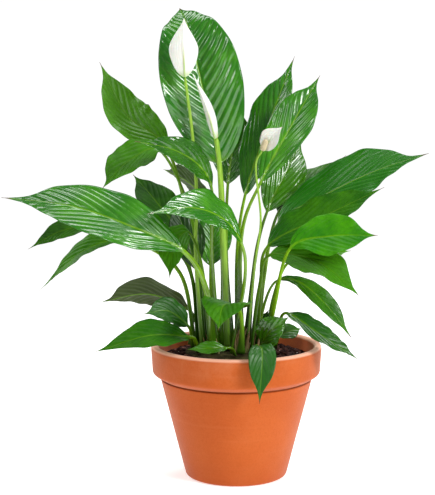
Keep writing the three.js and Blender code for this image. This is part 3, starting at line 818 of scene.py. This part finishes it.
def makePot():
    s = potSettings
    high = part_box("pot")[1][2]
    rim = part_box("pot")[1][0]
    bandFoot = high - s["bandHeight"]
    bandFootRadius = rim - s["bandTaper"]
    stepRadius = bandFootRadius - s["step"]
    stepHeight = bandFoot - s["stepDrop"]
    crease = s["crease"]
    path = [  # from the middle of the underside, up the outside and down the inside
        (0, 0),
        (s["baseRadius"], 0),
        (stepRadius, stepHeight - crease),
        (stepRadius - crease, stepHeight - 0.3 * crease),
        (stepRadius + 0.2 * crease, stepHeight + 0.3 * crease),
        (bandFootRadius, bandFoot),
        (rim, high - 4 * mm),
        (rim - 0.3 * mm, high),
        (rim - s["lipWall"], high),
        (s["baseRadius"] - s["wall"], s["floor"]),
        (0, s["floor"]),
    ]
    corner = {1: s["footRound"], 2: 0.5 * mm, 4: 0.4 * mm, 5: 2.5 * mm,
              7: s["lipRound"], 8: s["lipRound"], 9: 4 * mm}
    bm = turnSkin(roundedPath(path, corner, s["cornerSteps"]), s["turns"], longest=12 * mm)
    for vertex in bm.verts:
        if 1 * mm < vertex.co.z < high - 1 * mm and vertex.co.xy.length > 20 * mm:
            wander = noise.noise(vertex.co * 14) * s["wander"]
            vertex.co.xy -= vertex.co.xy.normalized() * (abs(wander) + 0.02 * mm)
    pot = finishPiece(bm, "pot_clay", [terracottaMaterial()], "terracotta", "pot")
    boreHoles(pot)
    checkFit(pot, "pot", 0.5 * mm)


def boreHoles(pot):
    s = potSettings
    for i in range(s["holes"]):
        angle = 2 * math.pi * i / s["holes"] + math.pi / 2
        drill = bmesh.new()
        bmesh.ops.create_cone(drill, cap_ends=True, segments=40, radius1=s["holeRadius"],
                              radius2=s["holeRadius"], depth=4 * s["floor"])
        middle = Vector((s["holeCircle"] * math.cos(angle), s["holeCircle"] * math.sin(angle), 0))
        bmesh.ops.translate(drill, vec=middle, verts=drill.verts[:])
        cutMesh = bpy.data.meshes.new("drill")
        drill.to_mesh(cutMesh)
        drill.free()
        cutter = bpy.data.objects.new("drill", cutMesh)
        bpy.context.collection.objects.link(cutter)
        cut = pot.modifiers.new("hole", "BOOLEAN")
        cut.operation = "DIFFERENCE"
        cut.solver = "EXACT"
        cut.object = cutter
        bored = pot.evaluated_get(bpy.context.evaluated_depsgraph_get())
        bored = bpy.data.meshes.new_from_object(bored)
        pot.modifiers.clear()
        pot.data = bored
        bpy.data.objects.remove(cutter)


makePot()

print("soil")
soilSettings = {
    "rough": 1.6 * mm,
    "crumbs": {  # how many, smallest and largest, facets, flatness
        "soil": (800, (1.0 * mm, 3.0 * mm), 2, 0.7),
        "bark": (170, (2.0 * mm, 4.2 * mm), 2, 0.35),
        "grit": (150, (0.5 * mm, 1.2 * mm), 1, 0.8),
    },
    "mound": 4 * mm, "moundRadius": 76 * mm, "moundSlope": 22 * mm, "rings": 60, "turns": 220,
    "soilColours": ((0.02, 0.007, 0.006), (0.085, 0.031, 0.026)),
    "barkColours": ((0.08, 0.028, 0.022), (0.26, 0.11, 0.085)),
    "gritColours": ((0.8, 0.77, 0.72), (0.55, 0.5, 0.46)),
}
potInner = {"floorRadius": 44 * mm, "floor": 9 * mm, "lipRadius": 78 * mm, "lip": 132 * mm}
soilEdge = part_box("soil")[1][2] - soilSettings["mound"]


def soilMaterial(name, dark, light):
    bench = NodeBench(name)
    here = bench.place()
    fine = bench.noise(here, 900, 5, 0.7)
    colour = bench.blend(bench.fade(bench.noise(here, 130, 5), 0.35, 0.7), dark, light)
    colour = bench.blend(bench.fade(fine, 0.62, 0.8, 0.0, 0.5), colour, scaled(light, 2.2))
    skin = bench.bump(fine, 0.0012, 0.9)
    return bench.setShader(Base_Color=colour, Roughness=0.9, Normal=skin, Specular_IOR_Level=0.12)


def gritMaterial():
    bench = NodeBench("white_grit")
    here = bench.place()
    colour = bench.blend(bench.noise(here, 500, 3), *soilSettings["gritColours"])
    skin = bench.bump(bench.noise(here, 1500, 3), 0.0004, 0.8)
    return bench.setShader(Base_Color=colour, Roughness=0.85, Normal=skin)


def innerRadius(z):  # of the pot at the height z
    share = (z - potInner["floor"]) / (potInner["lip"] - potInner["floor"])
    return potInner["floorRadius"] + share * (potInner["lipRadius"] - potInner["floorRadius"])


def soilHeight(x, y):  # the soil's surface, mounded to its middle
    s = soilSettings
    r = math.hypot(x, y)
    mound = s["mound"] * smoothStep((s["moundRadius"] - r) / s["moundSlope"])
    spot = Vector((x, y, 0))
    lumps = noise.noise(spot * 140) * 0.6 + noise.noise(spot * 420) * 0.4
    return soilEdge + mound + s["rough"] * (lumps - 0.45)


def makeSoil():
    s = soilSettings
    outer = innerRadius(soilEdge) - 0.3 * mm
    foot = potInner["floor"] + 0.5 * mm
    points = [(0, 0, foot), (potInner["floorRadius"] - 0.5 * mm, 0, foot)]
    points += [(outer * (1 - i / s["rings"]), 0, soilEdge) for i in range(s["rings"] + 1)]
    bm = turnSkin(points, s["turns"])
    for vertex in bm.verts:
        if vertex.co.z > 0.5 * soilEdge and vertex.co.xy.length < outer - 0.5 * mm:
            vertex.co.z = soilHeight(vertex.co.x, vertex.co.y)
    addCrumbs(bm)
    soil = finishPiece(bm, "soil_bed", [
        soilMaterial("potting_soil", *s["soilColours"]),
        soilMaterial("bark_chips", *s["barkColours"]),
        gritMaterial(),
    ], "potting_mix", "soil")
    checkFit(soil, "soil", 3 * mm)


def addCrumbs(bm):
    dice = random.Random(7)
    scrap = bpy.data.meshes.new("crumbs")
    handfulSize = 30  # crumbs are made a handful at a time, which is far quicker
    for material, crumbs in enumerate(soilSettings["crumbs"].values()):
        count, (small, large), facets, flat = crumbs
        count = int(count / coarse)
        handful = bmesh.new()
        for i in range(count):
            size = small + (large - small) * dice.random() ** 2
            radius = (innerRadius(soilEdge) - 0.6 * mm - 1.3 * size) * dice.random() ** 0.5
            angle = dice.uniform(0, 2 * math.pi)
            x, y = radius * math.cos(angle), radius * math.sin(angle)
            turn = Matrix.Rotation(dice.uniform(0, wholeTurn), 4, "Z")
            turn = turn @ Matrix.Rotation(dice.uniform(-0.5, 0.5), 4, "X")
            spot = Matrix.Translation((x, y, soilHeight(x, y) + 0.25 * size * flat))
            stretch = Vector((dice.uniform(0.9, 1.4), dice.uniform(0.6, 1.0),
                              flat * dice.uniform(0.8, 1.2)))
            seed = Vector((dice.uniform(0, 90), dice.uniform(0, 90), dice.uniform(0, 90)))
            crumb = bmesh.ops.create_icosphere(handful, subdivisions=facets, radius=size)["verts"]
            for vertex in crumb:
                vertex.co *= 1 + 0.5 * noise.noise(vertex.co / size * 1.4 + seed)
                vertex.co *= stretch
            bmesh.ops.transform(handful, matrix=spot @ turn, verts=crumb)
            if i % handfulSize == handfulSize - 1 or i == count - 1:
                for face in handful.faces:
                    face.material_index = material
                handful.to_mesh(scrap)
                bm.from_mesh(scrap)
                handful.clear()
        handful.free()
    bpy.data.meshes.remove(scrap)


makeSoil()

print("crown")
crownSettings = {
    "centre": (-5 * mm, 2 * mm), "radius": 46 * mm, "rows": 26, "turns": 150,
    "brim": 1.2 * mm,  # the height of its outer edge
    "fibreColours": ((0.03, 0.026, 0.01), (0.085, 0.075, 0.026)),
    "sheaths": 26, "sheathLength": (9 * mm, 26 * mm), "sheathWidth": (2.5 * mm, 6 * mm),
    "sheathRows": 12, "sheathThick": 0.36 * mm,
    "sheathColours": ((0.2, 0.12, 0.05), (0.42, 0.3, 0.14)), "sheathFoot": (0.18, 0.24, 0.06),
}


def makeCrown():
    s = crownSettings
    low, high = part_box("crown")
    foot = low.z + 0.1 * mm
    brim = low.z + s["brim"]
    points = [(0, 0, foot), (s["radius"], 0, foot), (s["radius"] - 0.6 * mm, 0, brim)]
    points += [(s["radius"] * (1 - (i + 1) / s["rows"]), 0, high.z) for i in range(s["rows"])]
    bm = turnSkin(points, s["turns"])
    for vertex in bm.verts:
        radius = vertex.co.xy.length
        if vertex.co.z > low.z + 1.5 * mm:
            lumps = abs(noise.noise(vertex.co * 260)) + 0.5 * abs(noise.noise(vertex.co * 600))
            rise = smoothStep((s["radius"] - radius) / (16 * mm))
            vertex.co.z = brim + (high.z - brim) * rise * (0.75 + 0.25 * lumps)
        vertex.co.x += s["centre"][0]
        vertex.co.y += s["centre"][1]
    fibre = soilMaterial("crown_fibre", *s["fibreColours"])
    checkFit(finishPiece(bm, "crown_base", [fibre], "crown", "crown"), "crown")


def sheathMaterial():
    look = crownSettings
    bench = NodeBench("dry_sheath")
    fibres = bench.noise(bench.place((1, 1, 0.05)), 1200, 4)
    colour = bench.blend(bench.fade(fibres, 0.3, 0.7), *look["sheathColours"])
    foot = bench.fade(bench.attribute("along"), 0.5, 0.1, 0.0, 0.6)
    colour = bench.blend(foot, colour, look["sheathFoot"])
    skin = bench.bump(fibres, 0.0005, 0.8)
    return bench.setShader(Base_Color=colour, Roughness=0.75, Normal=skin)


def makeSheaths():  # dry papery leaf bases that stand round the foot of the clump
    dice = random.Random(21)
    s = crownSettings
    bm = bmesh.new()
    bm.verts.layers.float.new("along")
    for _ in range(s["sheaths"]):
        angle = dice.uniform(0, 2 * math.pi)
        radius = dice.uniform(0.2, 0.72) * s["radius"]
        length = dice.uniform(*s["sheathLength"])
        halfWidth = 0.5 * dice.uniform(*s["sheathWidth"])
        lean = dice.uniform(0.05, 0.45)
        out = Vector((math.cos(angle), math.sin(angle), 0))
        foot = Vector((s["centre"][0] + radius * math.cos(angle),
                       s["centre"][1] + radius * math.sin(angle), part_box("crown")[1][2] - 1 * mm))
        spine = Spine([foot, foot + out * lean * 0.4 * length + Vector((0, 0, 0.5 * length)),
                       foot + out * lean * length + Vector((0, 0, length))])
        rows = s["sheathRows"]
        frames = spine.frames([i / rows for i in range(rows + 1)], -out, rows // 2)

        def section(station, across, turn):
            share = station / rows
            wide = halfWidth * (1 - share ** 2.5) + 0.15 * mm
            ragged = 0.25 * mm * noise.noise(Vector((across * 3, share * 6, length * 900)))
            lift = 0.5 * wide * across ** 2 + ragged
            half = 0.5 * s["sheathThick"]
            return across * wide, lift + half, lift - half, share

        bit = wrapSkin(frames, 12, section, ("along",), flatFoot=False)
        mesh = bpy.data.meshes.new("sheath")
        bit.to_mesh(mesh)
        bit.free()
        bm.from_mesh(mesh)
        bpy.data.meshes.remove(mesh)
    finishPiece(bm, "dry_sheaths", [sheathMaterial()], "crown")


makeCrown()
makeSheaths()

print("floor and light")
stageSettings = {
    "floor": 1.7, "floorDrop": 0.2 * mm, "floorGlow": 0.5,
    "ambient": 0.2,  # how strongly the white room lights the plant
    "backdrop": 1.05,  # and how bright it looks
    "lights": {  # place, the height that it aims at, width, height, watts
        "key_light": ((1.20, -1.05, 1.15), 0.25, 0.6, 0.7, 27),
        "left_light": ((-0.95, -1.15, 1.25), 0.25, 0.4, 0.6, 6.5),
        "top_light": ((0.0, 0.25, 1.70), 0.20, 1.0, 0.7, 12),
        "back_light": ((0.7, 1.40, 1.10), 0.25, 0.8, 0.6, 13),
        "back_left_light": ((-1.2, 0.9, 0.9), 0.25, 0.5, 0.7, 7),
    },
}


def addLight(name, place, aim, width, height, power):
    data = bpy.data.lights.new(name, "AREA")
    data.shape = "RECTANGLE"
    data.size, data.size_y = width, height
    data.energy = power
    light = bpy.data.objects.new(name, data)
    light.location = place
    look = Vector((0, 0, aim)) - Vector(place)
    light.rotation_euler = look.to_track_quat("-Z", "Y").to_euler()
    bpy.context.collection.objects.link(light)


def addStage():
    bm = bmesh.new()
    bmesh.ops.create_circle(bm, cap_ends=True, segments=64, radius=stageSettings["floor"])
    mesh = bpy.data.meshes.new("studio_floor")
    bm.to_mesh(mesh)
    bm.free()
    bench = NodeBench("studio_paper")
    bench.setShader(Base_Color=(0.9, 0.9, 0.9), Roughness=0.9, Specular_IOR_Level=0.1,
                    Emission_Color=(1, 1, 1), Emission_Strength=stageSettings["floorGlow"])
    mesh.materials.append(bench.material)
    floor = bpy.data.objects.new("studio_floor", mesh)
    floor.location.z = -stageSettings["floorDrop"]
    bpy.context.collection.objects.link(floor)
    for name, settings in stageSettings["lights"].items():
        addLight(name, *settings)
    world = bpy.context.scene.world or bpy.data.worlds.new("studio")
    bpy.context.scene.world = world
    world.use_nodes = True
    nodes, links = world.node_tree.nodes, world.node_tree.links
    sky = nodes["Background"]
    sky.inputs["Color"].default_value = (1, 1, 1, 1)
    rays = nodes.new("ShaderNodeLightPath")  # seen directly the room is whiter than its light
    strength = nodes.new("ShaderNodeMapRange")
    strength.inputs["To Min"].default_value = stageSettings["ambient"]
    strength.inputs["To Max"].default_value = stageSettings["backdrop"]
    links.new(rays.outputs["Is Camera Ray"], strength.inputs["Value"])
    links.new(strength.outputs["Result"], sky.inputs["Strength"])
    bpy.context.scene.view_settings.view_transform = "Standard"


addStage()
